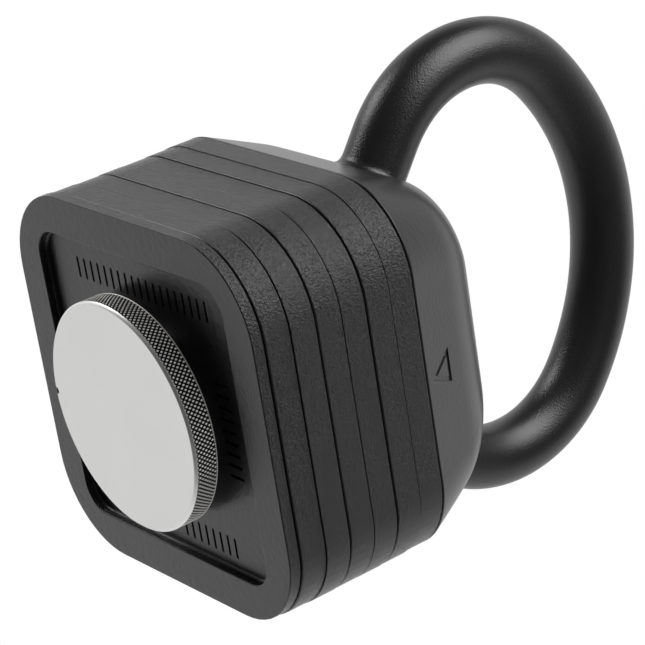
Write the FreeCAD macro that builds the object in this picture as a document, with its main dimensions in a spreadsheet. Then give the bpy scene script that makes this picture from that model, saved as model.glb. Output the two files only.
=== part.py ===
"""Adjustable kettlebell: a cast head with a bent bar handle, six thick square plates
and a thin front plate, clamped by a knurled lock knob on a trapezoidal screw.

The bell stands on its knob. The origin is the centre of the knob's flat face, +Z
points up through the handle, and the handle loop lies in the XZ plane.
"""
import FreeCAD, Part
import math
import os
import Sketcher
from FreeCAD import Placement, Rotation, Vector

doc = FreeCAD.newDocument("Kettlebell")

# ---------------------------------------------------------------- driving dimensions
sheet = doc.addObject("Spreadsheet::Sheet", "Sizes")
DIMENSIONS = [
    # plates
    ("plate_width", 165.0), ("plate_corner", 38.4), ("plate_thick", 12.25), ("front_thick", 5.7),
    ("pocket_width", 130.4), ("pocket_corner", 12.4), ("pocket_depth", 4.0), ("pocket_edge", 1.2),
    ("pad_clear", 0.5), ("pad_gap", 0.4), ("plate_gap", 0.05), ("bore_clear", 1.0),
    ("edge_wide", 0.8), ("edge_narrow", 0.3),
    # lock knob, its screw and pin
    ("knob_dia", 99.7), ("knob_thick", 11.4), ("knob_standoff", 13.9), ("knob_chamfer", 1.0),
    ("hub_dia", 62.0), ("ring_thick", 2.0), ("ring_outer", 58.0), ("ring_clear", 0.5),
    ("notch_width", 3.0), ("shank_dia", 18.0), ("shank_depth", 9.0),
    ("pin_dia", 3.0), ("pin_length", 60.0),
    # trapezoidal thread
    ("thread_dia", 24.0), ("thread_pitch", 5.0), ("thread_depth", 2.5), ("thread_clear", 0.3),
    ("engagement", 30.0), ("insert_dia", 38.0), ("insert_flange", 46.0), ("flange_thick", 3.0),
    ("tip_space", 6.0), ("thread_flat", 0.366), ("thread_flank", 15.0), ("thread_over", 0.3),
    # head
    ("wall_angle", 22.7), ("wall_height", 25.3), ("shoulder_run", 58.7), ("shoulder_rise", 62.6),
    ("head_base_corner", 37.5), ("head_top_corner", 27.0),
    # handle
    ("bar_dia", 29.4), ("loop_height", 174.5), ("loop_top_share", 0.66189), ("loop_side_share", 0.32722),
    ("leg_share", 0.22923), ("loop_top_turn", 39.1), ("loop_side_turn", 104.3), ("weld_size", 4.0),
    # sizes that follow others: the loop keeps its shape at any height, and the bores follow the screw
    ("loop_top_arc", "=loop_height * loop_top_share"), ("loop_side_arc", "=loop_height * loop_side_share"),
    ("leg_length", "=loop_height * leg_share"), ("plate_bore", "=thread_dia + 2 * bore_clear"),
]
for row, (alias, value) in enumerate(DIMENSIONS, start=1):
    sheet.set(f"A{row}", alias)
    sheet.set(f"B{row}", str(value))
    sheet.setAlias(f"B{row}", alias)
doc.recompute()

PLATES = 6
WALL_SECTIONS = 3
SHOULDER_SECTIONS = 6

# levels along Z, worked out from the cells
PITCH_UP = "(Sizes.plate_thick + Sizes.plate_gap)"
FRONT_Z = "Sizes.knob_standoff"
STACK_Z = f"({FRONT_Z} + Sizes.front_thick + Sizes.plate_gap)"
HEAD_Z = f"({STACK_Z} + {PLATES} * {PITCH_UP})"
FLOOR_Z = f"({FRONT_Z} + Sizes.pocket_depth)"
RING_Z = f"({FLOOR_Z} - Sizes.ring_thick)"
INSERT_Z = f"({HEAD_Z} + Sizes.pocket_depth)"
TIP_Z = f"({INSERT_Z} + Sizes.engagement)"


def size(expression):
    """The value of an expression over the sheet's cells."""
    probe = sheet.evalExpression(expression)
    return float(getattr(probe, "Value", probe))


# ---------------------------------------------------------------- helpers
def newBody(label):
    body = doc.addObject("PartDesign::Body", label)
    body.Label = label
    return body


def newSketch(body, name, role="XY_Plane", offset=None):
    """A sketch on one of the body's own planes, raised along its normal by an expression."""
    sketch = body.newObject("Sketcher::SketchObject", name)
    plane = [f for f in body.Origin.OriginFeatures if f.Role == role][0]
    sketch.AttachmentSupport = [(plane, "")]
    sketch.MapMode = "FlatFace"
    if offset:
        sketch.setExpression("AttachmentOffset.Base.z", offset)
    return sketch


def bind(sketch, kind, *arguments, name, expression):
    """Adds a dimension to a sketch and ties it to the sheet."""
    index = sketch.addConstraint(Sketcher.Constraint(kind, *arguments, size(expression)))
    sketch.renameConstraint(index, name)
    sketch.setExpression(f"Constraints.{name}", expression)


def bindAngle(sketch, arc, name, expression):
    """Ties the angle that an arc spans to a cell in degrees."""
    index = sketch.addConstraint(Sketcher.Constraint("Angle", arc, math.radians(size(expression))))
    sketch.renameConstraint(index, name)
    sketch.setExpression(f"Constraints.{name}", f"{expression} * 1 deg")


def roundedSquare(sketch, width, corner):
    """A square outline about the origin with four equal corner arcs."""
    half, r = size(width) / 2, size(corner)
    c = half - r
    edges = [((-c, half), (c, half)), ((half, c), (half, -c)),
             ((c, -half), (-c, -half)), ((-half, -c), (-half, c))]
    for start, end in edges:
        sketch.addGeometry(Part.LineSegment(Vector(*start, 0), Vector(*end, 0)), False)
    for cx, cy, first in ((c, c, 0), (c, -c, 270), (-c, -c, 180), (-c, c, 90)):
        circle = Part.Circle(Vector(cx, cy, 0), Vector(0, 0, 1), r)
        sketch.addGeometry(Part.ArcOfCircle(circle, math.radians(first), math.radians(first + 90)), False)
    for line in range(4):
        sketch.addConstraint(Sketcher.Constraint("Tangent", line, 2, 4 + line, 2))
        sketch.addConstraint(Sketcher.Constraint("Tangent", 4 + line, 1, (line + 1) % 4, 1))
    sketch.addConstraint(Sketcher.Constraint("Horizontal", 2))
    sketch.addConstraint(Sketcher.Constraint("Vertical", 3))
    for arc in (5, 6, 7):
        sketch.addConstraint(Sketcher.Constraint("Equal", 4, arc))
    sketch.addConstraint(Sketcher.Constraint("Symmetric", 0, 1, 0, 2, -2))
    sketch.addConstraint(Sketcher.Constraint("Symmetric", 1, 1, 1, 2, -1))
    bind(sketch, "DistanceY", -1, 1, 0, 1, name="half_y", expression=f"({width}) / 2")
    bind(sketch, "DistanceX", -1, 1, 1, 1, name="half_x", expression=f"({width}) / 2")
    bind(sketch, "Radius", 4, name="corner", expression=corner)


def circle(sketch, diameter):
    sketch.addGeometry(Part.Circle(Vector(0, 0, 0), Vector(0, 0, 1), size(diameter) / 2), False)
    sketch.addConstraint(Sketcher.Constraint("Coincident", 0, 3, -1, 1))
    bind(sketch, "Diameter", 0, name="across", expression=diameter)


def polygon(sketch, points):
    """A closed outline whose corners are pairs of expressions, measured from the origin."""
    values = [(size(x), size(y)) for x, y in points]
    count = len(points)
    for i in range(count):
        start, end = values[i], values[(i + 1) % count]
        sketch.addGeometry(Part.LineSegment(Vector(*start, 0), Vector(*end, 0)), False)
    for i in range(count):
        sketch.addConstraint(Sketcher.Constraint("Coincident", i, 2, (i + 1) % count, 1))
    for i, (x, y) in enumerate(points):
        for axis, line, value, expression in (("X", -2, values[i][0], x), ("Y", -1, values[i][1], y)):
            if abs(value) < 1e-9:
                sketch.addConstraint(Sketcher.Constraint("PointOnObject", i, 1, line))
            else:
                bind(sketch, f"Distance{axis}", -1, 1, i, 1,
                     name=f"p{i}{axis.lower()}", expression=expression)


def pad(body, name, sketch, length):
    feature = body.newObject("PartDesign::Pad", name)
    feature.Profile = sketch
    feature.setExpression("Length", length)
    return finish(feature)


def pocket(body, name, sketch, depth=None):
    """Cuts up into the body by a depth, or right through it both ways."""
    feature = body.newObject("PartDesign::Pocket", name)
    feature.Profile = sketch
    if depth:
        feature.Reversed = True
        feature.setExpression("Length", depth)
    else:
        feature.Type = "ThroughAll"
        feature.Midplane = True
    return finish(feature, cuts=True)


def revolve(body, name, sketch, cuts=False):
    """Turns a profile drawn on the XZ plane about the body's Z axis."""
    feature = body.newObject("PartDesign::Groove" if cuts else "PartDesign::Revolution", name)
    feature.Profile = sketch
    feature.ReferenceAxis = (sketch, ["V_Axis"])
    feature.Angle = 360
    return finish(feature, cuts=cuts)


def helix(body, name, sketch, pitch, height):
    """Cuts a profile along a right-hand helix about the Z axis."""
    feature = body.newObject("PartDesign::SubtractiveHelix", name)
    feature.Profile = sketch
    feature.ReferenceAxis = (sketch, ["V_Axis"])
    feature.Mode = "pitch-height-angle"
    feature.setExpression("Pitch", pitch)
    feature.setExpression("Height", height)
    return finish(feature, cuts=True)


def finish(feature, cuts=False):
    """Recomputes, and makes sure that a cutting feature took material away."""
    doc.recompute()
    base = getattr(feature, "BaseFeature", None)
    if cuts and base and feature.Shape.Volume > base.Shape.Volume - 1e-3:
        raise RuntimeError(f"{feature.Name} cuts nothing")
    return feature


def dress(body, name, kind, wanted, cell):
    """Fillets or chamfers the edges of the tip that a test picks by their shape."""
    tip = body.Tip
    names = [f"Edge{i}" for i, edge in enumerate(tip.Shape.Edges, start=1) if wanted(edge)]
    if not names:
        raise RuntimeError(f"{name} finds no edges")
    feature = body.newObject(f"PartDesign::{kind}", name)
    feature.Base = (tip, names)
    feature.setExpression("Radius" if kind == "Fillet" else "Size", cell)
    return finish(feature)


def outerRim(z, width):
    """Picks edges at one level that lie on a square outline of the given width."""
    def wanted(edge):
        box = edge.BoundBox
        reach = max(abs(box.XMin), abs(box.XMax), abs(box.YMin), abs(box.YMax))
        return abs(box.ZMin - z) < 1e-4 and abs(box.ZMax - z) < 1e-4 and abs(reach - width / 2) < 1e-3
    return wanted


def raiseTo(thing, level):
    thing.setExpression("Placement.Base.z", level)


# ---------------------------------------------------------------- plates
def makePlate(label, thick, level, front_edge, rear_edge):
    """A square plate: a pocket in front takes the next plate's pad, and a pad stands at the rear."""
    body = newBody(label)
    outline = newSketch(body, f"{label}_outline")
    roundedSquare(outline, "Sizes.plate_width", "Sizes.plate_corner")
    pad(body, f"{label}_slab", outline, thick)
    dish = newSketch(body, f"{label}_dish")
    roundedSquare(dish, "Sizes.pocket_width", "Sizes.pocket_corner")
    pocket(body, f"{label}_pocket", dish, "Sizes.pocket_depth")
    width, plate_width = size("Sizes.pocket_width"), size("Sizes.plate_width")
    dress(body, f"{label}_dish_floor", "Fillet",
          outerRim(size("Sizes.pocket_depth"), width), "Sizes.pocket_edge")
    boss = newSketch(body, f"{label}_boss", offset=thick)
    roundedSquare(boss, "Sizes.pocket_width - 2 * Sizes.pad_clear", "Sizes.pocket_corner - Sizes.pad_clear")
    pad(body, f"{label}_pad", boss, "Sizes.pocket_depth - Sizes.pad_gap")
    top = size(f"{thick} + Sizes.pocket_depth - Sizes.pad_gap")
    dress(body, f"{label}_pad_edge", "Fillet", outerRim(top, width - 2 * size("Sizes.pad_clear")),
          "Sizes.pocket_edge + Sizes.pad_clear")
    bore = newSketch(body, f"{label}_bore")
    circle(bore, "Sizes.plate_bore")
    pocket(body, f"{label}_hole", bore)
    dress(body, f"{label}_front_edge", "Fillet", outerRim(0, plate_width), front_edge)
    dress(body, f"{label}_rear_edge", "Fillet", outerRim(size(thick), plate_width), rear_edge)
    raiseTo(body, level)
    return body


parts = [makePlate("front_plate", "Sizes.front_thick", FRONT_Z,
                   "Sizes.edge_narrow", "Sizes.edge_wide")]
for number in range(PLATES, 0, -1):
    step = PLATES - number
    # neighbouring plates turn the same kind of edge to each other, so joints are in turn wide and fine
    wide_in_front = step % 2 == 0
    parts.append(makePlate(
        f"plate_{number}", "Sizes.plate_thick", f"{STACK_Z} + {step} * {PITCH_UP}",
        "Sizes.edge_wide" if wide_in_front else "Sizes.edge_narrow",
        "Sizes.edge_narrow" if wide_in_front else "Sizes.edge_wide"))


# ---------------------------------------------------------------- handle
def makeHandle():
    """A bent round bar: a wide arc over the top, a tighter arc each side, and straight legs."""
    body = newBody("handle_loop")
    top_z = f"({HEAD_Z} + Sizes.loop_height)"
    path = newSketch(body, "bar_path", role="XZ_Plane")
    top_r, side_r, leg = size("Sizes.loop_top_arc"), size("Sizes.loop_side_arc"), size("Sizes.leg_length")
    turn_1 = math.radians(size("Sizes.loop_top_turn"))
    turn_2 = turn_1 + math.radians(size("Sizes.loop_side_turn"))
    centre_1 = Vector(0, size(top_z) - top_r, 0)
    centre_2 = centre_1 + Vector(math.sin(turn_1), math.cos(turn_1), 0) * (top_r - side_r)
    start_leg = centre_2 + Vector(math.sin(turn_2), math.cos(turn_2), 0) * side_r
    end_leg = start_leg + Vector(math.cos(turn_2), -math.sin(turn_2), 0) * leg
    up = math.pi / 2
    axis = Vector(0, 0, 1)
    path.addGeometry(Part.ArcOfCircle(Part.Circle(centre_1, axis, top_r), up - turn_1, up), False)
    path.addGeometry(Part.ArcOfCircle(Part.Circle(centre_2, axis, side_r), up - turn_2, up - turn_1), False)
    path.addGeometry(Part.LineSegment(start_leg, end_leg), False)
    path.addConstraint(Sketcher.Constraint("Tangent", 0, 1, 1, 2))
    path.addConstraint(Sketcher.Constraint("Tangent", 1, 1, 2, 1))
    path.addConstraint(Sketcher.Constraint("PointOnObject", 0, 3, -2))
    path.addConstraint(Sketcher.Constraint("PointOnObject", 0, 2, -2))
    bind(path, "Radius", 0, name="top_arc", expression="Sizes.loop_top_arc")
    bind(path, "Radius", 1, name="side_arc", expression="Sizes.loop_side_arc")
    bind(path, "DistanceY", -1, 1, 0, 2, name="top_height", expression=top_z)
    bindAngle(path, 0, name="top_turn", expression="Sizes.loop_top_turn")
    bindAngle(path, 1, name="side_turn", expression="Sizes.loop_side_turn")
    bind(path, "Distance", 2, name="leg", expression="Sizes.leg_length")
    section = newSketch(body, "bar_section", role="YZ_Plane")
    section.addGeometry(Part.Circle(Vector(0, size(top_z), 0), axis, size("Sizes.bar_dia") / 2), False)
    section.addConstraint(Sketcher.Constraint("PointOnObject", 0, 3, -2))
    bind(section, "DistanceY", -1, 1, 0, 3, name="height", expression=top_z)
    bind(section, "Diameter", 0, name="across", expression="Sizes.bar_dia")
    doc.recompute()
    pipe = body.newObject("PartDesign::AdditivePipe", "half_bar")
    pipe.Profile = section
    pipe.Spine = (path, ["Edge1", "Edge2", "Edge3"])
    finish(pipe)
    mirror = body.newObject("PartDesign::Mirrored", "whole_bar")
    mirror.Originals = [pipe]
    mirror.MirrorPlane = ([f for f in body.Origin.OriginFeatures if f.Role == "YZ_Plane"][0], [""])
    body.Tip = mirror
    finish(mirror)
    return body


# ---------------------------------------------------------------- head
# the shoulder is part of an ellipse that starts in line with the sloping wall and ends level
WALL_IN = "(Sizes.wall_height * tan(Sizes.wall_angle))"
START_TURN = "atan(Sizes.shoulder_rise / Sizes.shoulder_run * tan(Sizes.wall_angle))"
CENTRE_X = f"(Sizes.plate_width / 2 - {WALL_IN} - Sizes.shoulder_run * cos({START_TURN}))"
CENTRE_UP = f"(Sizes.wall_height - Sizes.shoulder_rise * sin({START_TURN}))"
HEAD_TALL = f"({CENTRE_UP} + Sizes.shoulder_rise)"


def headSection(i):
    """Half width and level of one section: equal steps up the wall, then equal turns round the shoulder."""
    if i < WALL_SECTIONS:
        share = f"{i} / {WALL_SECTIONS}"
        return f"(Sizes.plate_width / 2 - {WALL_IN} * {share})", f"(Sizes.wall_height * {share})"
    share = f"{i - WALL_SECTIONS} / {SHOULDER_SECTIONS - 1}"
    turn = f"({START_TURN} + (90 deg - {START_TURN}) * {share})"
    return (f"({CENTRE_X} + Sizes.shoulder_run * cos({turn}))",
            f"({CENTRE_UP} + Sizes.shoulder_rise * sin({turn}))")


def makeHeadBlank():
    """The head without the handle's sockets: square at the plates, a sloping wall, a rounded shoulder."""
    body = newBody("head_blank")
    sections = []
    for i in range(WALL_SECTIONS + SHOULDER_SECTIONS):
        half, level = headSection(i)
        corner = ("Sizes.head_top_corner + (Sizes.head_base_corner - Sizes.head_top_corner)"
                  f" * (1 - {level} / {HEAD_TALL}) ^ 2")
        sketch = newSketch(body, f"head_section_{i}", offset=level if i else None)
        roundedSquare(sketch, f"2 * {half}", f"min({corner}; {half} - 1)")
        sections.append(sketch)
    doc.recompute()
    loft = body.newObject("PartDesign::AdditiveLoft", "head_dome")
    loft.Profile = sections[0]
    loft.Sections = sections[1:]
    finish(loft)
    dish = newSketch(body, "head_dish")
    roundedSquare(dish, "Sizes.pocket_width", "Sizes.pocket_corner")
    pocket(body, "head_pocket", dish, "Sizes.pocket_depth")
    well = newSketch(body, "head_well", role="XZ_Plane")
    floor = "Sizes.pocket_depth"
    polygon(well, [
        ("0", floor), ("Sizes.insert_flange / 2", floor),
        ("Sizes.insert_flange / 2", f"{floor} + Sizes.flange_thick"),
        ("Sizes.insert_dia / 2", f"{floor} + Sizes.flange_thick"),
        ("Sizes.insert_dia / 2", f"{floor} + Sizes.engagement"),
        ("Sizes.thread_dia / 2 + Sizes.bore_clear", f"{floor} + Sizes.engagement"),
        ("Sizes.thread_dia / 2 + Sizes.bore_clear", f"{floor} + Sizes.engagement + Sizes.tip_space"),
        ("0", f"{floor} + Sizes.engagement + Sizes.tip_space")])
    revolve(body, "insert_seat", well, cuts=True)
    raiseTo(body, HEAD_Z)
    return body


def makeCut(label, base, tool):
    cut = doc.addObject("Part::Cut", label)
    cut.Label = label
    cut.Base = base
    cut.Tool = tool
    doc.recompute()
    return cut


handle = makeHandle()
head_blank = makeHeadBlank()
head = makeCut("head_casting", head_blank, handle)
parts += [head, handle]


def makeWelds():
    """The weld round each leg fills the corner between bar and head with a hollow fillet."""
    joined = doc.addObject("Part::Fuse", "joined")
    joined.Base = head_blank
    joined.Tool = handle
    doc.recompute()
    bar_r = size("Sizes.bar_dia") / 2
    wanted = []
    for i, edge in enumerate(joined.Shape.Edges, start=1):
        middle = Part.Vertex(edge.valueAt((edge.FirstParameter + edge.LastParameter) / 2))
        touches = [thing.Shape.distToShape(middle)[0] < 1e-3 for thing in (handle, head_blank)]
        if all(touches) and abs(middle.X) > bar_r:
            wanted.append((i, size("Sizes.weld_size"), size("Sizes.weld_size")))
    fillet = doc.addObject("Part::Fillet", "weld_fillet")
    fillet.Base = joined
    fillet.Edges = wanted
    doc.recompute()
    ring = makeCut("weld_rings", makeCut("weld_less_head", fillet, head_blank), handle)
    beads = []
    for label, sign in (("handle_weld_left", -1), ("handle_weld_right", 1)):
        block = doc.addObject("Part::Box", f"{label}_side")
        for edge_name in ("Length", "Width", "Height"):
            block.setExpression(edge_name, "4 * Sizes.plate_width")
        block.Placement.Base = Vector(0, 0, 0)
        block.setExpression("Placement.Base.x", "0" if sign > 0 else "-4 * Sizes.plate_width")
        block.setExpression("Placement.Base.y", "-2 * Sizes.plate_width")
        bead = doc.addObject("Part::Common", label)
        bead.Label = label
        bead.Base = ring
        bead.Tool = block
        doc.recompute()
        beads.append(bead)
    return beads


parts += makeWelds()


# ---------------------------------------------------------------- thread
def threadProfile(sketch, crest_r, depth, level):
    """A trapezoid that is narrower at the root, drawn out past the crest so that it cuts cleanly."""
    over, slope = "Sizes.thread_over", "tan(Sizes.thread_flank)"
    root = "(Sizes.thread_pitch * Sizes.thread_flat / 2 + Sizes.thread_clear / 2)"
    mouth = f"({root} + {depth} * {slope})"
    polygon(sketch, [
        (f"{crest_r} + {over}", f"{level} - {mouth} - {over} * {slope}"),
        (f"{crest_r} + {over}", f"{level} + {mouth} + {over} * {slope}"),
        (f"{crest_r} - {depth}", f"{level} + {root}"),
        (f"{crest_r} - {depth}", f"{level} - {root}")])


def makeScrew():
    """A plain shank pressed into the knob, a reduced neck and a trapezoidal thread at the tip."""
    body = newBody("screw_body")
    start = "Sizes.knob_thick - Sizes.shank_depth"
    crest = "Sizes.thread_dia / 2"
    neck = f"({crest} - Sizes.thread_depth - Sizes.thread_clear)"
    run_out = f"({HEAD_Z} - Sizes.thread_pitch)"
    profile = newSketch(body, "screw_profile", role="XZ_Plane")
    polygon(profile, [
        ("0", start), ("Sizes.shank_dia / 2", start), ("Sizes.shank_dia / 2", RING_Z), (neck, RING_Z),
        (neck, run_out), (crest, f"{run_out} + Sizes.thread_depth"), (crest, f"{TIP_Z} - Sizes.thread_depth"),
        (f"{crest} - Sizes.thread_depth", TIP_Z), ("0", TIP_Z)])
    revolve(body, "screw_blank", profile)
    groove = newSketch(body, "screw_groove", role="XZ_Plane")
    threadProfile(groove, crest, "Sizes.thread_depth", f"({run_out} - Sizes.thread_pitch)")
    helix(body, "screw_thread", groove, "Sizes.thread_pitch", f"{TIP_Z} - {run_out} + 2 * Sizes.thread_pitch")
    return body


def makeInsert():
    """A flanged steel bush with the matching inside thread."""
    body = newBody("thread_insert")
    minor = "(Sizes.thread_dia / 2 - Sizes.thread_depth + Sizes.thread_clear)"
    major = "(Sizes.thread_dia / 2 + Sizes.thread_clear)"
    profile = newSketch(body, "insert_profile", role="XZ_Plane")
    polygon(profile, [
        (minor, "0"), ("Sizes.insert_flange / 2", "0"), ("Sizes.insert_flange / 2", "Sizes.flange_thick"),
        ("Sizes.insert_dia / 2", "Sizes.flange_thick"), ("Sizes.insert_dia / 2", "Sizes.engagement"),
        (minor, "Sizes.engagement")])
    revolve(body, "insert_blank", profile)
    # the inside groove lies over the screw's ridge, half a pitch from the screw's groove
    groove = newSketch(body, "insert_groove", role="XZ_Plane")
    slope = "tan(Sizes.thread_flank)"
    root = "(Sizes.thread_pitch * Sizes.thread_flat / 2 + Sizes.thread_clear / 2)"
    reach = f"({major} - {minor} + Sizes.thread_over)"
    level = f"({HEAD_Z} - 2 * Sizes.thread_pitch - {INSERT_Z} + Sizes.thread_pitch / 2)"
    polygon(groove, [
        (f"{minor} - Sizes.thread_over", f"{level} - {root} - {reach} * {slope}"),
        (f"{minor} - Sizes.thread_over", f"{level} + {root} + {reach} * {slope}"),
        (major, f"{level} + {root}"), (major, f"{level} - {root}")])
    helix(body, "insert_thread", groove, "Sizes.thread_pitch", "Sizes.engagement + 5 * Sizes.thread_pitch")
    raiseTo(body, INSERT_Z)
    return body


# ---------------------------------------------------------------- lock knob
def makeKnob():
    """A thick disc with a hub behind it; a small notch in the rim marks the pin's end."""
    body = newBody("knob_body")
    profile = newSketch(body, "knob_profile", role="XZ_Plane")
    rim, bevel, thick = "Sizes.knob_dia / 2", "Sizes.knob_chamfer", "Sizes.knob_thick"
    bore = "Sizes.shank_dia / 2"
    start = f"{thick} - Sizes.shank_depth"
    polygon(profile, [
        ("0", "0"), (f"{rim} - {bevel}", "0"), (rim, bevel), (rim, f"{thick} - {bevel} / 2"),
        (f"{rim} - {bevel} / 2", thick), ("Sizes.hub_dia / 2", thick), ("Sizes.hub_dia / 2", RING_Z),
        (bore, RING_Z), (bore, start), ("0", start)])
    revolve(body, "knob_turning", profile)
    notch = newSketch(body, "knob_notch")
    notch_r = size("Sizes.notch_width") / 2
    notch.addGeometry(Part.Circle(Vector(0, size(rim), 0), Vector(0, 0, 1), notch_r), False)
    notch.addConstraint(Sketcher.Constraint("PointOnObject", 0, 3, -2))
    bind(notch, "DistanceY", -1, 1, 0, 3, name="rim", expression=rim)
    bind(notch, "Diameter", 0, name="across", expression="Sizes.notch_width")
    pocket(body, "rim_notch", notch, "Sizes.notch_width")
    return body


def makePin():
    """A straight pin across the hub and the screw's shank."""
    pin = doc.addObject("Part::Cylinder", "knob_pin")
    pin.Label = "knob_pin"
    pin.setExpression("Radius", "Sizes.pin_dia / 2")
    pin.setExpression("Height", "Sizes.pin_length")
    pin.Placement = Placement(Vector(0, 0, 0), Rotation(Vector(1, 0, 0), 90))
    pin.setExpression("Placement.Base.y", "Sizes.pin_length / 2")
    pin.setExpression("Placement.Base.z", f"(Sizes.knob_thick + {RING_Z}) / 2")
    return pin


def makeRing():
    """A flat friction washer between the hub and the front plate's pocket floor."""
    body = newBody("friction_ring")
    outline = newSketch(body, "ring_outline")
    circle(outline, "Sizes.ring_outer")
    pad(body, "ring_disc", outline, "Sizes.ring_thick - 2 * Sizes.plate_gap")
    eye = newSketch(body, "ring_eye")
    circle(eye, "Sizes.plate_bore + 2 * Sizes.ring_clear")
    pocket(body, "ring_hole", eye)
    raiseTo(body, f"{RING_Z} + Sizes.plate_gap")
    return body


pin = makePin()
knob = makeCut("lock_knob", makeKnob(), pin)
screw = makeCut("lock_screw", makeScrew(), pin)
parts += [makeInsert(), knob, screw, pin, makeRing()]

# ---------------------------------------------------------------- checks and export
doc.recompute()
for thing in doc.Objects:
    if {"Invalid", "Error"} & set(thing.State):
        raise RuntimeError(f"{thing.Label} failed: {thing.State}")
for part in parts:
    if part.Shape.isNull() or not part.Shape.isValid() or not part.Shape.Solids:
        raise RuntimeError(f"{part.Label} has no sound shape")

os.makedirs("parts", exist_ok=True)
for part in parts:
    part.Shape.exportStep(f"parts/{part.Label}.step")
    print(f"{part.Label}: {len(part.Shape.Solids)} solid, {part.Shape.Volume / 1000:.1f} cm3")
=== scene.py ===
import bmesh, bpy, math
import numpy as np
from mathutils import Matrix, Vector


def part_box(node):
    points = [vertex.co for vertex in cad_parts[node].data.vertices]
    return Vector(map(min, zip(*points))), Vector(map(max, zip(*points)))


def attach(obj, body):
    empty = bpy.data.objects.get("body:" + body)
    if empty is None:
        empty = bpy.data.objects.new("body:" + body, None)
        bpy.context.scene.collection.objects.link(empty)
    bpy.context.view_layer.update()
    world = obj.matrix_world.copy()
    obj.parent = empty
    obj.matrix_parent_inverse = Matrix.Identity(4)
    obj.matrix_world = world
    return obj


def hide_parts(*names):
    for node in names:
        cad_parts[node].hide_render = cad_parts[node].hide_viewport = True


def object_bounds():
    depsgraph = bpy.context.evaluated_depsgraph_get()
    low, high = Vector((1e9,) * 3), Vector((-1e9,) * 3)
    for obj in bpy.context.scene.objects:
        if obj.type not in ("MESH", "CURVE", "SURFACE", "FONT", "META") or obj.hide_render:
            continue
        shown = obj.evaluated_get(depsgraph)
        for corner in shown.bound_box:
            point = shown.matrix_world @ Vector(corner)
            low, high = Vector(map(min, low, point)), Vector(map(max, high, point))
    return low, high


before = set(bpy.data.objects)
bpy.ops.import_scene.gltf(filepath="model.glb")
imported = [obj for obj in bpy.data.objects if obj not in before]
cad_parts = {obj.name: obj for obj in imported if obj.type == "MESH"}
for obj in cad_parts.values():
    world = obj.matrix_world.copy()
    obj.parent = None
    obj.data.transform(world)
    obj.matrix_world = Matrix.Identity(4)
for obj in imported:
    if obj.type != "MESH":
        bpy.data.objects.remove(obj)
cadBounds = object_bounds()
print("stage: frame loaded,", len(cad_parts), "nodes")


mm = 0.001


# places and sizes all come from the frame
def span(node):
    low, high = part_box(node)
    return np.array(low), np.array(high)


knobHigh = span("lock_knob")[1]
knobRadius = knobHigh[0]
headLow, headHigh = span("head_casting")
headBase = headLow[2]
barTop = span("handle_loop")[1][2]
plateHalf = span("front_plate")[1][0]
plateNames = ["front_plate"] + ["plate_%d" % n for n in range(6, 0, -1)]
plateFronts = [span(name)[0][2] for name in plateNames]


# a socket that knows its operators: each expression adds its own Math nodes
class Wire:
    def __init__(self, tree, socket):
        self.tree = tree
        self.socket = socket

    def join(self, operation, other, swapped=False, settings=None):
        first, second = (other, self) if swapped else (self, other)
        return addNode(self.tree, "ShaderNodeMath", {"operation": operation, **(settings or {})},
                       {0: first, 1: second})

    def __add__(self, other):
        return self.join("ADD", other)

    def __radd__(self, other):
        return self.join("ADD", other, True)

    def __sub__(self, other):
        return self.join("SUBTRACT", other)

    def __rsub__(self, other):
        return self.join("SUBTRACT", other, True)

    def __mul__(self, other):
        return self.join("MULTIPLY", other)

    def __rmul__(self, other):
        return self.join("MULTIPLY", other, True)

    def __truediv__(self, other):
        return self.join("DIVIDE", other)

    def __rtruediv__(self, other):
        return self.join("DIVIDE", other, True)

    def __gt__(self, other):
        return self.join("GREATER_THAN", other)

    def __lt__(self, other):
        return self.join("LESS_THAN", other)

    def __abs__(self):
        return self.join("ABSOLUTE", 0.0)

    def clamp(self):
        return self.join("ADD", 0.0, settings={"use_clamp": True})


def addNode(tree, kind, settings=None, inputs=None, output=0):
    # one way in for every node: settings first, then socket values or links
    node = tree.nodes.new(kind)
    for key, value in (settings or {}).items():
        setattr(node, key, value)
    for key, value in (inputs or {}).items():
        if isinstance(value, Wire):
            tree.links.new(value.socket, node.inputs[key])
        else:
            node.inputs[key].default_value = value
    return Wire(tree, node.outputs[output]) if node.outputs else None


def grey(value):
    return (value, value, value, 1.0)


def mixColour(tree, factor, first, second):
    return addNode(tree, "ShaderNodeMix", {"data_type": "RGBA"}, {"Factor": factor, 6: first, 7: second}, 2)


def noise(tree, place, scale, detail=2.0, roughness=0.5):
    return addNode(tree, "ShaderNodeTexNoise", None,
                   {"Vector": place, "Scale": scale, "Detail": detail, "Roughness": roughness})


def bump(tree, height, strength, distance, under=None):
    inputs = {"Height": height, "Strength": strength, "Distance": distance}
    if under:
        inputs["Normal"] = under
    return addNode(tree, "ShaderNodeBump", None, inputs)


def splitAxes(tree, vector):
    node = addNode(tree, "ShaderNodeSeparateXYZ", None, {0: vector}).socket.node
    return [Wire(tree, socket) for socket in node.outputs]


def axisDistance(tree, x, y):
    # how far a point is from the upright axis through the knob
    flat = addNode(tree, "ShaderNodeCombineXYZ", None, {"X": x, "Y": y})
    return addNode(tree, "ShaderNodeVectorMath", {"operation": "LENGTH"}, {0: flat}, 1)


def emptyTree(owner):
    owner.use_nodes = True
    owner.node_tree.nodes.clear()
    return owner.node_tree


def newMaterial(name, build, finish):
    # build gets the tree, the object coordinates and the finish, and returns the shader's sockets
    material = bpy.data.materials.new(name)
    tree = emptyTree(material)
    place = addNode(tree, "ShaderNodeTexCoord", None, None, 3)
    shader = addNode(tree, "ShaderNodeBsdfPrincipled", None, build(tree, place, finish))
    addNode(tree, "ShaderNodeOutputMaterial", None, {"Surface": shader})
    return material


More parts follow.
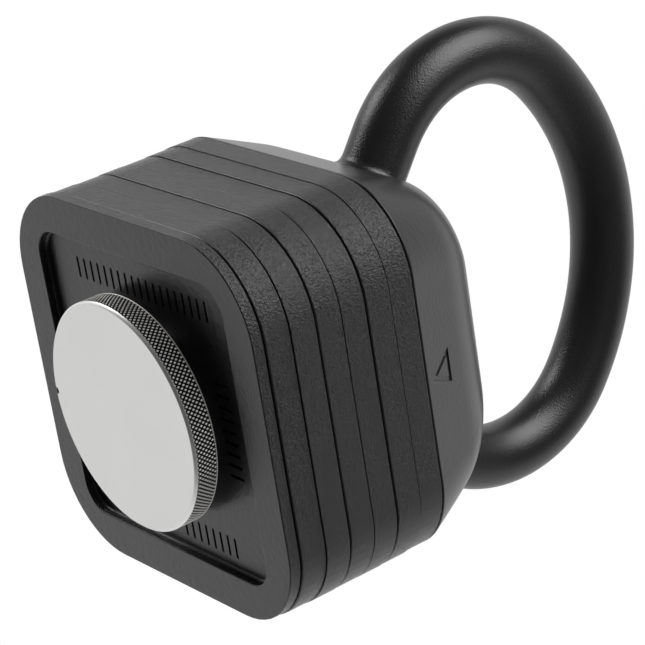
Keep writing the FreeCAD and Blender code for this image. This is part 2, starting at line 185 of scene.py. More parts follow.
plateCoat = {"colour": 0.007, "fade": 0.011, "patches": 14.0, "roughness": 0.21, "patchRoughness": 0.08,
             "pebble": 1300.0, "pebbleDepth": 0.65 * mm, "faceFall": 1.6, "faceGrain": 0.15,
             "cast": 350.0, "castStrength": 0.35, "castDepth": 0.4 * mm}


def buildPlateCoat(tree, place, finish):
    # thick powder coat: fine pebbles about a millimetre apart on the cast sides, smoother on the faces
    pebbles = noise(tree, place, finish["pebble"], 2.0, 0.55)
    cast = noise(tree, place, finish["cast"])
    patches = noise(tree, place, finish["patches"], 3.0, 0.55)
    upright = abs(splitAxes(tree, addNode(tree, "ShaderNodeNewGeometry", None, None, 1))[2])
    side = (1.0 - upright * finish["faceFall"]).clamp() * (1 - finish["faceGrain"]) + finish["faceGrain"]
    low = bump(tree, cast, finish["castStrength"], finish["castDepth"])
    return {"Base Color": mixColour(tree, patches, grey(finish["colour"]), grey(finish["fade"])),
            "Roughness": finish["roughness"] + patches * finish["patchRoughness"],
            "Normal": bump(tree, pebbles * side, 1.0, finish["pebbleDepth"], low)}


headCoat = {"colour": 0.012, "fade": 0.018, "patches": 10.0, "roughness": 0.25, "patchRoughness": 0.1,
            "peel": 600.0, "peelStrength": 0.5, "peelDepth": 0.16 * mm,
            "wave": 45.0, "waveStrength": 0.12, "waveDepth": 0.8 * mm}
handleCoat = {"colour": 0.008, "fade": 0.012, "patches": 16.0, "roughness": 0.26, "patchRoughness": 0.1,
              "peel": 1300.0, "peelStrength": 0.7, "peelDepth": 0.22 * mm,
              "wave": 60.0, "waveStrength": 0.15, "waveDepth": 0.7 * mm}


def buildSatinCoat(tree, place, finish):
    # satin coat: a faint orange peel over the slow waves of the casting or the bent bar
    peel = noise(tree, place, finish["peel"])
    patches = noise(tree, place, finish["patches"], 3.0)
    low = bump(tree, noise(tree, place, finish["wave"]), finish["waveStrength"], finish["waveDepth"])
    return {"Base Color": mixColour(tree, patches, grey(finish["colour"]), grey(finish["fade"])),
            "Roughness": finish["roughness"] + patches * finish["patchRoughness"],
            "Normal": bump(tree, peel, finish["peelStrength"], finish["peelDepth"], low)}


knobSteel = {"colour": (0.88, 0.88, 0.87, 1.0), "metallic": 0.85, "roughness": 0.31, "clouds": 30.0,
             "cloudRoughness": 0.1, "rings": 2600.0, "ringRoughness": 0.04, "ringStrength": 0.05,
             "ringDepth": 0.05 * mm, "lineColour": 0.95, "lineShare": 0.35, "lineX": 2.5 * mm,
             "lineHalf": 0.18 * mm, "lineFrom": 20.0 * mm, "lineTo": 36.0 * mm, "lineLevel": 0.4 * mm}


def buildKnobSteel(tree, place, finish):
    # turned face: fine rings about the axis, a faint cloudiness, and a scribed line towards the notch
    x, y, z = splitAxes(tree, place)
    rings = addNode(tree, "ShaderNodeTexNoise", {"noise_dimensions": "1D"},
                    {"W": axisDistance(tree, x, y), "Scale": finish["rings"]})
    clouds = noise(tree, place, finish["clouds"], 4.0, 0.6)
    line = (abs(x - finish["lineX"]) < finish["lineHalf"]) * (y > finish["lineFrom"]) * (y < finish["lineTo"])
    drawn = line * (z < finish["lineLevel"]) * finish["lineShare"]
    wear = clouds * finish["cloudRoughness"] + rings * finish["ringRoughness"]
    return {"Base Color": mixColour(tree, drawn, finish["colour"], grey(finish["lineColour"])),
            "Metallic": finish["metallic"], "Roughness": wear + finish["roughness"],
            "Normal": bump(tree, rings, finish["ringStrength"], finish["ringDepth"])}


# the knurl colour is a painted highlight on the points, made less metallic so it shows from every side, and
# the groove colour is painted shade in the grooves
knurlSteel = {"colour": (0.95, 0.94, 0.91, 1.0), "groove": 0.02, "roughness": 0.40, "grooveMetallic": 1.0,
              "pointMetallic": 0.25, "pointDepth": 0.22 * mm, "pointRun": 0.14 * mm}


def buildKnurlSteel(tree, place, finish):
    # the rolled rim has a painted highlight on its points, which reach furthest out, and painted shade in the
    # grooves
    x, y = splitAxes(tree, place)[:2]
    # bright is the painted highlight mask: full on the points, falling to none in the grooves, which keep the
    # painted shade
    bright = ((axisDistance(tree, x, y) - (knobRadius - finish["pointDepth"])) / finish["pointRun"]).clamp()
    metalFall = finish["grooveMetallic"] - finish["pointMetallic"]
    return {"Base Color": mixColour(tree, bright, grey(finish["groove"]), finish["colour"]),
            "Metallic": finish["grooveMetallic"] - bright * metalFall, "Roughness": finish["roughness"]}


screwSteel = {"dark": 0.32, "light": 0.55, "smears": 90.0, "roughness": 0.25, "smearRoughness": 0.25,
              "grain": 1500.0, "grainStrength": 0.08, "grainDepth": 0.05 * mm}


def buildScrewSteel(tree, place, finish):
    # machined steel with smears of oil
    smears = noise(tree, place, finish["smears"], 3.0, 0.6)
    grain = noise(tree, place, finish["grain"])
    return {"Base Color": mixColour(tree, smears, grey(finish["dark"]), grey(finish["light"])),
            "Metallic": 1.0, "Roughness": finish["roughness"] + smears * finish["smearRoughness"],
            "Normal": bump(tree, grain, finish["grainStrength"], finish["grainDepth"])}


ringRubber = {"dark": 0.012, "light": 0.022, "roughness": 0.7, "grainRoughness": 0.15,
              "grain": 1200.0, "grainStrength": 0.3, "grainDepth": 0.1 * mm}


def buildRingRubber(tree, place, finish):
    grain = noise(tree, place, finish["grain"], 2.0, 0.6)
    return {"Base Color": mixColour(tree, grain, grey(finish["dark"]), grey(finish["light"])),
            "Roughness": finish["roughness"] + grain * finish["grainRoughness"],
            "Normal": bump(tree, grain, finish["grainStrength"], finish["grainDepth"])}


plateMaterial = newMaterial("plateCoat", buildPlateCoat, plateCoat)
headMaterial = newMaterial("headCoat", buildSatinCoat, headCoat)
handleMaterial = newMaterial("handleCoat", buildSatinCoat, handleCoat)
knobMaterial = newMaterial("knobSteel", buildKnobSteel, knobSteel)
knurlMaterial = newMaterial("knurlSteel", buildKnurlSteel, knurlSteel)
screwMaterial = newMaterial("screwSteel", buildScrewSteel, screwSteel)
ringMaterial = newMaterial("ringRubber", buildRingRubber, ringRubber)
print("stage: materials made")


def gridQuads(rows, columns, closeRows=False):
    # quads between neighbouring rings; each ring closes on itself, and the last row can join the first
    i, j = np.meshgrid(np.arange(rows if closeRows else rows - 1), np.arange(columns), indexing="ij")
    nextI, nextJ = (i + 1) % rows, (j + 1) % columns
    return np.stack([i * columns + j, i * columns + nextJ, nextI * columns + nextJ, nextI * columns + j],
                    -1).reshape(-1, 4)


def endCaps(rows, columns):
    # one face across the first ring and one across the last
    first = np.arange(columns)
    return [first.tolist(), (rows * columns - 1 - first).tolist()]


def outwardMesh(name, points, faces):
    mesh = bpy.data.meshes.new(name)
    mesh.from_pydata(points.reshape(-1, 3).tolist(), [], faces)
    work = bmesh.new()
    work.from_mesh(mesh)
    bmesh.ops.recalc_face_normals(work, faces=work.faces)
    work.to_mesh(mesh)
    work.free()
    return mesh


def makePiece(name, points, faces, materials, body, sharp=30.0, finish=None):
    # sharp is the angle in degrees past which an edge shows; finish is each face's place in materials
    mesh = outwardMesh(name, points, faces)
    for material in materials:
        mesh.materials.append(material)
    mesh.polygons.foreach_set("use_smooth", np.ones(len(mesh.polygons), bool))
    if finish is not None:
        mesh.polygons.foreach_set("material_index", finish)
    mesh.set_sharp_from_angle(angle=math.radians(sharp))
    piece = bpy.data.objects.new(name, mesh)
    bpy.context.scene.collection.objects.link(piece)
    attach(piece, body)
    return piece


def squareTurns(perCorner=14, perSide=(0.012, 0.3, 0.5, 0.7, 0.988)):
    # for each ring point: which corner, its share of the corner's quarter turn, and of the side that follows
    corner = np.repeat(np.arange(4), perCorner + len(perSide))
    arc = np.concatenate([np.linspace(0, 1, perCorner), np.ones(len(perSide))])
    side = np.concatenate([np.zeros(perCorner), perSide])
    return corner, np.tile(arc, 4), np.tile(side, 4)


def squareRings(rows, turns):
    # ring point = corner centre + corner radius * (cos a, sin a); sides run straight from arc to arc
    half, corner, level = (rows[:, i][:, None] for i in range(3))
    which, arc, side = turns
    signX = np.array([1, -1, -1, 1.0])
    signY = np.array([1, 1, -1, -1.0])

    def onArc(k, share):
        angle = (k + share) * math.pi / 2
        centre = half - corner
        return signX[k % 4] * centre + corner * np.cos(angle), signY[k % 4] * centre + corner * np.sin(angle)

    x0, y0 = onArc(which, arc)
    x1, y1 = onArc(which + 1, np.zeros_like(arc))
    x = x0 + (x1 - x0) * side
    y = y0 + (y1 - y0) * side
    return np.stack([x, y, level + 0 * x], -1)


def circleRings(rows, count):
    # ring point = (radius cos a, radius sin a, level)
    angle = np.arange(count) * 2 * math.pi / count
    radius, level = rows[:, 0][:, None], rows[:, 1][:, None]
    return np.stack([radius * np.cos(angle), radius * np.sin(angle), level + 0 * angle * radius], -1)


def roundedProfile(corners, closed=True, steps=5, support=0.3 * mm):
    # corners are (half width, corner radius, level, edge radius); each corner becomes an arc
    # tangent to both neighbours, with a support row just past each end that keeps the flats flat:
    # the arc starts edge / tan(half the angle) before the corner, round a middle edge / sin(it) inside
    rows = []
    count = len(corners)
    for i, (half, ring, level, edge) in enumerate(corners):
        here = np.array([half, level])
        if edge == 0 or (not closed and i in (0, count - 1)):
            rows.append((half, ring, level))
            continue
        before = np.array([corners[i - 1][0], corners[i - 1][2]]) - here
        after = np.array([corners[(i + 1) % count][0], corners[(i + 1) % count][2]]) - here
        lengthIn, lengthOut = np.linalg.norm(before), np.linalg.norm(after)
        a, b = before / lengthIn, after / lengthOut
        halfAngle = math.acos(np.clip(a @ b, -1, 1)) / 2
        reach = edge / math.tan(halfAngle)
        middle = here + (a + b) / np.linalg.norm(a + b) * edge / math.sin(halfAngle)
        start, end = here + a * reach, here + b * reach
        first, last = start - middle, end - middle
        total = math.pi - 2 * halfAngle
        share = np.linspace(0, 1, steps + 1)[:, None]
        arc = middle + (first * np.sin((1 - share) * total) + last * np.sin(share * total)) / math.sin(total)
        lead = start + a * min(support, (lengthIn - reach) / 3)
        follow = end + b * min(support, (lengthOut - reach) / 3)
        points = [lead, *arc, follow]
        rows += [(p[0], ring + p[0] - half, p[1]) for p in points]
    return np.array(rows)


plateShape = {"corner": 38.4 * mm, "pocketHalf": 65.2 * mm, "pocketCorner": 12.4 * mm,
              "pocketDepth": 4.0 * mm, "padClear": 1.6 * mm, "padTall": 3.6 * mm, "padRoot": 0.3 * mm,
              "padEdge": 1.7 * mm, "bore": 13.2 * mm, "boreEdge": 0.4 * mm, "firstEdge": 0.45 * mm,
              "wideEdge": 0.7 * mm, "fineEdge": 0.3 * mm, "rimEdge": 0.5 * mm, "floorEdge": 1.2 * mm,
              "gap": 0.30 * mm,
              "settle": [(0, 0), (0.4, -0.3), (0.6, -0.6), (0.4, -0.6), (0.6, -0.4), (0.3, -0.5), (0.1, 0)]}


def plateProfile(front, rear, frontEdge, rearEdge):
    # bore, pocket floor, pocket wall, front rim, outer side, rear face, pad, and back to the bore
    s = plateShape
    padHalf, padCorner = s["pocketHalf"] - s["padClear"], s["pocketCorner"] - s["padClear"]
    floor, top = front + s["pocketDepth"], rear + s["padTall"] + s["gap"]
    return [
        (s["bore"], s["bore"], floor, s["boreEdge"]),
        (s["pocketHalf"], s["pocketCorner"], floor, s["floorEdge"]),
        (s["pocketHalf"], s["pocketCorner"], front, s["rimEdge"]),
        (plateHalf, s["corner"], front, frontEdge),
        (plateHalf, s["corner"], rear, rearEdge),
        (padHalf, padCorner, rear, s["padRoot"]),
        (padHalf, padCorner, top, s["padEdge"]),
        (s["bore"], s["bore"], top, s["boreEdge"])]


def makePlates():
    # the joints are wide and fine in turn, and each plate settles (x, y) mm off the middle
    s = plateShape
    turns = squareTurns()
    pieces = {}
    for i, name in enumerate(plateNames):
        rear = span(name)[1][2] - s["padTall"] - s["gap"]
        edges = (s["wideEdge"], s["fineEdge"]) if i % 2 else (s["fineEdge"], s["wideEdge"])
        if i == 0:
            edges = (s["firstEdge"], s["wideEdge"])
        points = squareRings(roundedProfile(plateProfile(plateFronts[i], rear, *edges)), turns)
        points += np.array([*s["settle"][i], 0]) * mm
        faces = gridQuads(points.shape[0], points.shape[1], closeRows=True).tolist()
        piece = makePiece(name + "_shell", points, faces, [plateMaterial], name + "_body")
        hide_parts(name)
        pieces[name] = piece
    return pieces


plates = makePlates()
print("stage: plates made")


headShape = {"wallAngle": math.radians(22.7), "wallTall": 25.3 * mm, "wallRows": 10, "wallFrom": 0.06,
             "shoulderRun": 58.7 * mm, "shoulderRise": 62.6 * mm, "shoulderRows": 40, "baseCorner": 37.5 * mm,
             "topCorner": 27.0 * mm, "cornerLeft": 1.0 * mm, "baseEdge": 0.5 * mm, "pocketEdge": 0.4 * mm,
             "seat": 23.0 * mm, "firstRise": 3.0 * mm, "firstRound": 1.0 * mm}


def headProfile(shoulderRows=headShape["shoulderRows"]):
    # half width falls along the sloping wall, then follows an ellipse round to the flat top:
    # centre + (run * cos a, rise * sin a); the corner radius eases from base to top with the square of height
    s = headShape
    wallIn = s["wallTall"] * math.tan(s["wallAngle"])
    startTurn = math.atan(s["shoulderRise"] / s["shoulderRun"] * math.tan(s["wallAngle"]))
    centreX = plateHalf - wallIn - s["shoulderRun"] * math.cos(startTurn)
    centreUp = s["wallTall"] - s["shoulderRise"] * math.sin(startTurn)
    tall = centreUp + s["shoulderRise"]
    up = np.linspace(s["wallFrom"], 1, s["wallRows"])
    turn = np.linspace(startTurn, math.pi / 2, shoulderRows)[1:]
    half = np.concatenate([plateHalf - wallIn * up, centreX + s["shoulderRun"] * np.cos(turn)])
    level = np.concatenate([s["wallTall"] * up, centreUp + s["shoulderRise"] * np.sin(turn)])
    corner = s["topCorner"] + (s["baseCorner"] - s["topCorner"]) * (1 - level / tall) ** 2
    return np.stack([half, np.minimum(corner, half - s["cornerLeft"]), level + headBase], -1)


def headSurfaceHalf(level):
    # half width and corner radius at any level, read between the rows of a fine profile
    rows = headProfile(200)
    return np.interp(level, rows[:, 2], rows[:, 0]), np.interp(level, rows[:, 2], rows[:, 1])


def makeHead():
    s, p = headShape, plateShape
    floor = headBase + p["pocketDepth"]
    firstHalf = plateHalf - s["firstRise"] * math.tan(s["wallAngle"])
    inner = roundedProfile([
        (s["seat"], s["seat"], floor, 0.0),
        (p["pocketHalf"], p["pocketCorner"], floor, p["floorEdge"]),
        (p["pocketHalf"], p["pocketCorner"], headBase, s["pocketEdge"]),
        (plateHalf, s["baseCorner"], headBase, s["baseEdge"]),
        (firstHalf, s["baseCorner"] - s["firstRound"], headBase + s["firstRise"], 0.0)], closed=False)
    rows = np.concatenate([inner[:-1], headProfile()[1:]])
    points = squareRings(rows, squareTurns(20))
    faces = gridQuads(*points.shape[:2]).tolist() + endCaps(*points.shape[:2])
    piece = makePiece("head_shell", points, faces, [headMaterial], "head", sharp=40.0)
    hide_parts("head_casting")
    return piece


head = makeHead()
print("stage: head made")

barShape = {"radius": 14.7 * mm, "topArc": 115.5 * mm, "sideArc": 57.1 * mm, "topTurn": math.radians(39.1),
            "sideTurn": math.radians(104.3), "leg": 30.0 * mm, "step": 1.8 * mm, "around": 72,
            "waviness": 0.12 * mm, "waves": (95.0, 41.0, 173.0)}


def barLine(stepLength):
    # the right half of the centreline: an arc over the top, a tighter side arc, then a straight leg
    s = barShape
    topLevel = barTop - s["radius"]
    turnEnd = s["topTurn"] + s["sideTurn"]
    firstLength, secondLength = s["topArc"] * s["topTurn"], s["sideArc"] * s["sideTurn"]
    total = firstLength + secondLength + s["leg"]
    along = np.linspace(0, total, int(total / stepLength))
    onTop = along < firstLength
    apart = s["topArc"] - s["sideArc"]
    turn = np.where(onTop, along / s["topArc"],
                    s["topTurn"] + np.clip((along - firstLength) / s["sideArc"], 0, s["sideTurn"]))
    centreX = np.where(onTop, 0, apart * math.sin(s["topTurn"]))
    centreZ = topLevel - s["topArc"] + np.where(onTop, 0, apart * math.cos(s["topTurn"]))
    bend = np.where(onTop, s["topArc"], s["sideArc"])
    onLeg = np.clip(along - firstLength - secondLength, 0, None)
    x = centreX + bend * np.sin(turn) + onLeg * math.cos(turnEnd)
    z = centreZ + bend * np.cos(turn) - onLeg * math.sin(turnEnd)
    return along, x, z, turn


def barSurface(x, z, turn, around, radius):
    # surface point = centreline + radius * (cos v * outward + sin v * across)
    outward = np.stack([np.sin(turn), 0 * turn, np.cos(turn)], -1)
    across = np.array([0, 1.0, 0])
    centre = np.stack([x, 0 * x, z], -1)
    return centre[:, None] + radius * (np.cos(around)[None, :, None] * outward[:, None]
                                       + np.sin(around)[None, :, None] * across)


def mirrored(values, sign):
    # a half line joined to its mirror image, without the middle point twice
    return np.concatenate([sign * values[:0:-1], values])


def makeHandle():
    s = barShape
    along, x, z, turn = (mirrored(values, sign) for values, sign in zip(barLine(s["step"]), (-1, -1, 1, -1)))
    around = np.arange(s["around"]) * 2 * math.pi / s["around"]
    # a bent and dressed bar is never quite true: a slow waviness a tenth of a millimetre deep,
    # the mean of three sines along the bar, each shifted as it goes round
    first, second, third = (along[:, None] * wave for wave in s["waves"])
    wave = (np.sin(first + 2 * np.cos(around)) + np.sin(second + 3 * np.sin(around) + 1)
            + np.sin(third + np.sin(2 * around) + 2)) / 3
    radius = s["radius"] - s["waviness"] * (0.5 + 0.5 * wave)
    points = barSurface(x, z, turn, around, radius[..., None])
    faces = gridQuads(*points.shape[:2]).tolist() + endCaps(*points.shape[:2])
    piece = makePiece("handle_bar", points, faces, [handleMaterial], "head")
    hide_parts("handle_loop")


makeHandle()

weldShape = {"width": 4.5 * mm, "step": 0.2 * mm, "rows": 12, "around": 96, "searchFrom": 0.6,
             "footIn": 0.8, "topIn": 0.9, "footShift": (2.0 * mm, 0.0, 4.0 * mm)}


def insideHead(points):
    # a point is inside where its distance from the rounded square's corner centres is under the corner radius
    half, corner = headSurfaceHalf(points[..., 2])
    ax = np.abs(points[..., 0]) - (half - corner)
    ay = np.abs(points[..., 1]) - (half - corner)
    reach = np.where((ax > 0) & (ay > 0), np.hypot(ax, ay), np.maximum(ax, ay))
    return (reach < corner) & (points[..., 2] < headHigh[2])


def rootCurve(radius, around):
    # where each line along a bar of this radius first meets the head, as a point and a place along the bar
    along, x, z, turn = barLine(weldShape["step"])
    points = barSurface(x, z, turn, around, radius)
    inside = insideHead(points)
    inside[:np.searchsorted(along, along[-1] * weldShape["searchFrom"])] = False
    first = inside.argmax(0)
    return points[first, np.arange(len(around))], first, points


def makeWelds():
    # the weld's skin runs from the bar to the head as a quadratic curve bent towards the corner between them:
    # (1 - t)^2 * top + 2 t (1 - t) * corner + t^2 * foot; two more rings close it inside the metal
    s = weldShape
    around = np.arange(s["around"]) * 2 * math.pi / s["around"]
    corner, first, barPoints = rootCurve(barShape["radius"], around)
    foot = rootCurve(barShape["radius"] + s["width"], around)[0]
    top = barPoints[first - int(s["width"] / s["step"]), np.arange(s["around"])]
    t = np.linspace(0, 1, s["rows"])[:, None, None]
    skin = (1 - t) ** 2 * top + 2 * t * (1 - t) * corner + t ** 2 * foot
    centre = np.mean(corner, 0)
    inner = (foot - centre) * s["footIn"] + centre - np.array(s["footShift"])
    innerTop = (top - centre) * s["topIn"] + centre
    rings = np.concatenate([innerTop[None], skin, inner[None]])
    for label, side in (("right", 1), ("left", -1)):
        points = rings * np.array([side, 1, 1])
        faces = gridQuads(points.shape[0], points.shape[1], closeRows=True).tolist()
        piece = makePiece("weld_bead_" + label, points, faces, [handleMaterial], "head",
                          sharp=60.0)
        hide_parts("handle_weld_" + label)


makeWelds()
print("stage: handle and welds made")

knobShape = {"diamonds": 150, "rowTall": 1.22 * mm, "fine": 4, "depth": 0.55 * mm, "crest": 0.62,
             "faceRings": (4.0 * mm, 12.0 * mm, 24.0 * mm, 36.0 * mm), "bevel": 1.0 * mm,
             "notchHalf": 1.6 * mm, "notchIn": 1.2 * mm, "notchTall": 3.2 * mm, "thick": 11.4 * mm,
             "backBevel": 0.7 * mm, "bandStart": 0.2 * mm, "bandEnd": 0.75 * mm, "hub": 31.0 * mm,
             "hubBevel": 0.5 * mm, "bore": 9.0 * mm}


def knurlHeight(turns, level):
    # two families of helical grooves cross; height is the smaller of the two waves, with its top cut flat
    s = knobShape
    across, along = turns * s["diamonds"], level / (2 * s["rowTall"])
    waves = [1 - np.abs(2 * ((across + sign * along) % 1) - 1) for sign in (1, -1)]
    return np.clip(np.minimum(*waves) / s["crest"], 0, 1)


def makeKnob():
    # rings about the axis; the rim sinks by depth * (1 - knurl height), or by the notch where deeper
    s = knobShape
    top = knobHigh[2]
    count = 2 * s["diamonds"] * s["fine"]
    bandLow, bandHigh = s["bevel"] + s["bandStart"], s["thick"] - s["bandEnd"]
    bandRows = int((bandHigh - bandLow) / s["rowTall"] * s["fine"]) + 1
    edge = knobRadius - s["bevel"]
    # a row close to each end of the bevel keeps the flats beside it flat
    face = [(radius, 0.0) for radius in s["faceRings"]]
    face += [(edge - 0.4 * mm, 0.0), (edge - 0.1 * mm, 0.0), (edge + 0.05 * mm, 0.06 * mm),
             (knobRadius - 0.12 * mm, s["bevel"] - 0.1 * mm), (knobRadius, s["bevel"] + 0.02 * mm)]
    back = [(knobRadius, s["thick"] - s["backBevel"]), (knobRadius - s["backBevel"], s["thick"]),
            (s["hub"] + s["hubBevel"], s["thick"]), (s["hub"], s["thick"]), (s["hub"], top - s["hubBevel"]),
            (s["hub"] - s["hubBevel"], top), (s["bore"], top)]
    band = [(knobRadius, level) for level in np.linspace(bandLow, bandHigh, bandRows)]
    rows = np.array(face + band + back)
    points = circleRings(rows, count)
    i, j = np.meshgrid(np.arange(len(rows)), np.arange(count), indexing="ij")
    inBand = (i > len(face)) & (i < len(face) + bandRows - 1)
    sunk = inBand * (1 - knurlHeight(j / count, points[..., 2])) * s["depth"]
    # the notch at the +Y side takes a round bite out of the front of the rim
    angle = j * 2 * math.pi / count - math.pi / 2
    across = np.abs(np.angle(np.exp(1j * angle))) * knobRadius
    bite = np.sqrt(np.clip(1 - (across / s["notchHalf"]) ** 2, 0, 1)) * s["notchHalf"]
    bitten = (rows[:, 0][:, None] > knobRadius - s["notchIn"]) & (points[..., 2] < s["notchTall"])
    points[..., :2] *= (1 - np.maximum(sunk, bite * bitten) / knobRadius)[..., None]
    faces = gridQuads(len(rows), count)
    row = faces[:, 0] // count
    finish = np.zeros(len(faces) + 2, np.int32)
    finish[:-2] = (row >= len(face)) & (row < len(face) + bandRows - 1)
    faces = faces.tolist() + endCaps(len(rows), count)
    piece = makePiece("knurled_knob", points, faces, [knobMaterial, knurlMaterial], "lock",
                      sharp=50.0, finish=finish)
    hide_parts("lock_knob")


makeKnob()
print("stage: knob made")

# rows of plain slots on the front panel: where each row's middle is, how many, and the axis it runs along
slotShape = {"long": 9.5 * mm, "wide": 1.5 * mm, "depth": 0.8 * mm, "above": 2.0 * mm, "spacing": 5.0 * mm,
             "arcPoints": 8, "rows": [{"middle": (-51.0 * mm, -3.0 * mm), "count": 19, "along": "y"},
                                      {"middle": (0.0, -50.0 * mm), "count": 9, "along": "x"},
                                      {"middle": (55.0 * mm, -22.0 * mm), "count": 8, "along": "y"}]}
triangleShape = {"corners": [(-7.5, 18.1), (7.8, 18.1), (0.8, 3.9)], "inner": 0.58, "depth": 0.8 * mm,
                 "outside": 2.0 * mm}


def slotOutline(turn):
    # a stadium: two half circles, half the width in radius, joined by straight sides
    s = slotShape
    half = (s["long"] - s["wide"]) / 2
    arc = np.linspace(-math.pi / 2, math.pi / 2, s["arcPoints"])
    right = np.stack([half + s["wide"] / 2 * np.cos(arc), s["wide"] / 2 * np.sin(arc)], -1)
    outline = np.concatenate([right, -right])
    cos, sin = math.cos(turn), math.sin(turn)
    return outline @ np.array([[cos, sin], [-sin, cos]])


def prisms(outlines, low, high):
    # each outline drawn out between two levels; all have as many points, so their faces differ by an offset
    count, n = outlines.shape[:2]
    points = np.empty((count, 2, n, 3))
    points[..., :2] = outlines[:, None]
    points[..., 2] = np.array([low, high])[:, None]
    starts = np.arange(count)[:, None, None] * 2 * n
    sides = (starts + gridQuads(2, n)).reshape(-1, 4)
    ends = (starts + np.array(endCaps(2, n))).reshape(-1, n)
    return points, sides.tolist() + ends.tolist()


def carve(piece, points, faces):
    # takes the closed shape out of the piece, then marks the new sharp edges
    cutter = bpy.data.objects.new("cutter", outwardMesh("cutter", points, faces))
    bpy.context.scene.collection.objects.link(cutter)
    cut = piece.modifiers.new("marks", "BOOLEAN")
    cut.operation = "DIFFERENCE"
    cut.solver = "EXACT"
    cut.object = cutter
    bpy.context.view_layer.update()
    cutMesh = bpy.data.meshes.new_from_object(piece.evaluated_get(bpy.context.evaluated_depsgraph_get()))
    piece.modifiers.clear()
    old = piece.data
    piece.data = cutMesh
    cutMesh.set_sharp_from_angle(angle=math.radians(30))
    bpy.data.meshes.remove(old)
    bpy.data.objects.remove(cutter)


def carvePanel():
    s = slotShape
    floor = plateFronts[0] + plateShape["pocketDepth"]
    outlines = []
    for row in s["rows"]:
        offsets = (np.arange(row["count"]) - (row["count"] - 1) / 2) * s["spacing"]
        step, turn = ((1, 0), math.pi / 2) if row["along"] == "x" else ((0, 1), 0.0)
        places = np.array(row["middle"]) + offsets[:, None] * np.array(step)
        outlines.append(places[:, None] + slotOutline(turn))
    carve(plates["front_plate"], *prisms(np.concatenate(outlines), floor - s["above"], floor + s["depth"]))


def carveTriangle():
    # an outline triangle on the -Y wall, its point towards the plates; the cutter is a three-sided ring
    # that follows the wall, which leans in by tan(wall angle) for each unit up
    s = triangleShape
    outer = np.array(s["corners"]) * mm
    middle = outer.mean(0)
    outline = np.concatenate([outer, middle + (outer - middle) * s["inner"]])
    wall = -(plateHalf - outline[:, 1] * math.tan(headShape["wallAngle"]))
    ends = [np.column_stack([outline[:, 0], wall + reach, headBase + outline[:, 1]])
            for reach in (s["depth"], -s["outside"])]
    k = np.arange(3)
    n = (k + 1) % 3
    faces = np.concatenate([np.stack([k, n, n + 3, k + 3], 1), np.stack([k + 6, n + 6, n + 9, k + 9], 1),
                            np.stack([k, n, n + 6, k + 6], 1), np.stack([k + 3, n + 3, n + 9, k + 9], 1)])
    carve(head, np.concatenate(ends), faces.tolist())


carvePanel()
carveTriangle()
print("stage: marks carved")

# CAD nodes whose shape stays, each with its finish
keptNodes = {"thread_insert": screwMaterial, "lock_screw": screwMaterial, "knob_pin": screwMaterial,
             "friction_ring": ringMaterial}
for node, material in keptNodes.items():
    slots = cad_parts[node].data.materials
    slots.clear()
    slots.append(material)
print("stage: screw, insert, pin and ring finished")

# the view: place and lens in millimetres, angles in degrees; turn goes from +Y towards +X
viewShape = {"place": (-420.3, -849.4, -487.1), "turn": 26.1592, "rise": 32.0329, "roll": -66.2774,
             "lens": 146.852, "sensor": 36.0, "reach": 20.0}
turn, rise, roll = (math.radians(viewShape[name]) for name in ("turn", "rise", "roll"))
forward = Vector((math.cos(rise) * math.sin(turn), math.cos(rise) * math.cos(turn), math.sin(rise)))
levelRight = Vector((math.cos(turn), -math.sin(turn), 0))
up = levelRight.cross(forward) * math.cos(roll) + levelRight * math.sin(roll)
right = forward.cross(up)
scene = bpy.context.scene
cameraData = bpy.data.cameras.new("view")
cameraData.sensor_width = viewShape["sensor"]
cameraData.lens = viewShape["lens"]
cameraData.clip_end = viewShape["reach"]
camera = bpy.data.objects.new("view", cameraData)
scene.collection.objects.link(camera)
turnMatrix = Matrix((right, up, -forward)).transposed().to_4x4()
camera.matrix_world = Matrix.Translation(Vector(viewShape["place"]) * mm) @ turnMatrix
scene.camera = camera

# soft panels: how far right, up and towards the camera they stand from the middle, in metres and watts
panels = {"key": {"side": 0.90, "up": 1.15, "towards": 0.60, "size": 1.25, "power": 27.0, "shines": True},
          "left": {"side": -1.08, "up": 0.95, "towards": -0.08, "size": 0.7, "power": 8.0, "shines": True},
          "right": {"side": 1.30, "up": 0.55, "towards": 0.75, "size": 0.8, "power": 4.0, "shines": True},
          "front": {"side": 0.95, "up": -0.45, "towards": 1.30, "size": 0.7, "power": 15.0, "shines": False}}
centre = (Vector(cadBounds[0]) + Vector(cadBounds[1])) / 2


def softPanel(name, shape):
    light = bpy.data.lights.new(name, "AREA")
    light.shape = "SQUARE"
    light.size = shape["size"]
    light.energy = shape["power"]
    panel = bpy.data.objects.new(name, light)
    scene.collection.objects.link(panel)
    panel.location = centre + right * shape["side"] + up * shape["up"] - forward * shape["towards"]
    panel.visible_glossy = shape["shines"]
    panel.rotation_euler = (centre - panel.location).to_track_quat("-Z", "Y").to_euler()


for name, shape in panels.items():
    softPanel(name, shape)

# the room is white behind the bell and dark behind the view; the camera itself sees plain white paper
roomShape = {"lean": 0.35, "darkAt": 0.0, "brightAt": 0.40, "dark": 0.04, "bright": 0.85}


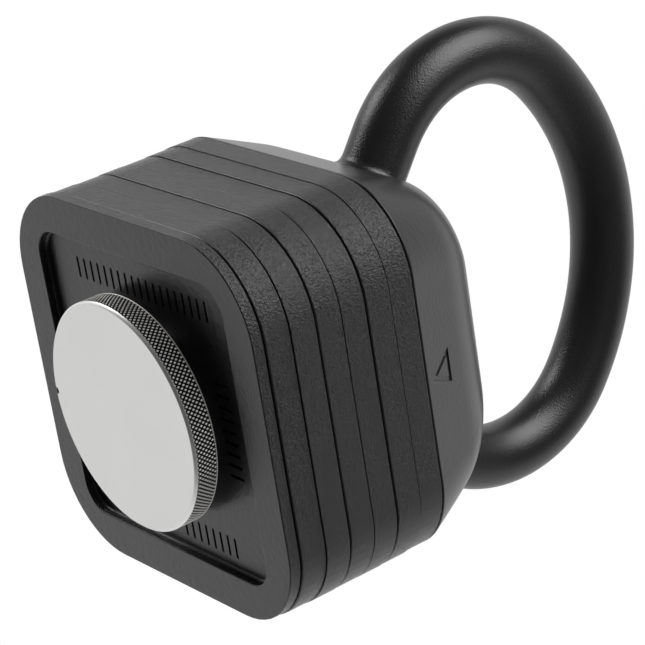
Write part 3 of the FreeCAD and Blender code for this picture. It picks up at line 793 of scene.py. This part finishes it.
def makeRoom():
    s = roomShape
    world = bpy.data.worlds.new("studio")
    scene.world = world
    tree = emptyTree(world)
    direction = addNode(tree, "ShaderNodeTexCoord", None, None, 0)
    ahead, above = (addNode(tree, "ShaderNodeVectorMath", {"operation": "DOT_PRODUCT"},
                            {0: direction, 1: tuple(axis)}, 1) for axis in (forward, up))
    level = addNode(tree, "ShaderNodeMapRange", None, {
        0: ahead - above * s["lean"], 1: s["darkAt"], 2: s["brightAt"], 3: s["dark"], 4: s["bright"]})
    room = addNode(tree, "ShaderNodeBackground", None, {"Color": grey(1.0), "Strength": level})
    paper = addNode(tree, "ShaderNodeBackground", None, {"Color": grey(1.0), "Strength": 1.0})
    seen = addNode(tree, "ShaderNodeLightPath", None, None, 0)
    both = addNode(tree, "ShaderNodeMixShader", None, {0: seen, 1: room, 2: paper})
    addNode(tree, "ShaderNodeOutputWorld", None, {"Surface": both})
    scene.view_settings.view_transform = "Standard"


makeRoom()

# the floor, just under the knob's face; clear from underneath, where the view looks up, and far away
floorShape = {"reach": 0.9, "drop": 0.3 * mm, "colour": 0.9, "fadeFrom": 0.12, "fadeTo": 0.55}


def makeFloor():
    s = floorShape
    mesh = bpy.data.meshes.new("floor")
    corners = np.array([(-1, -1), (1, -1), (1, 1), (-1, 1)]) * s["reach"]
    mesh.from_pydata(np.column_stack([corners, np.full(4, -s["drop"])]).tolist(), [], [[0, 1, 2, 3]])
    material = bpy.data.materials.new("floorPaper")
    tree = emptyTree(material)
    paper = addNode(tree, "ShaderNodeBsdfDiffuse", None, {"Color": grey(s["colour"])})
    clear = addNode(tree, "ShaderNodeBsdfTransparent")
    under = addNode(tree, "ShaderNodeNewGeometry", None, None, 6)
    place = addNode(tree, "ShaderNodeTexCoord", None, None, 3)
    away = addNode(tree, "ShaderNodeVectorMath", {"operation": "LENGTH"}, {0: place}, 1)
    fade = addNode(tree, "ShaderNodeMapRange", {"interpolation_type": "SMOOTHSTEP"},
                   {0: away, 1: s["fadeFrom"], 2: s["fadeTo"]})
    both = addNode(tree, "ShaderNodeMixShader", None, {0: (under + fade).clamp(), 1: paper, 2: clear})
    addNode(tree, "ShaderNodeOutputMaterial", None, {"Surface": both})
    mesh.materials.append(material)
    floor = bpy.data.objects.new("floor", mesh)
    scene.collection.objects.link(floor)
    floor.visible_diffuse = floor.visible_glossy = floor.visible_transmission = floor.visible_shadow = False


makeFloor()
print("stage: view, lights and floor made")

print("stage: done")
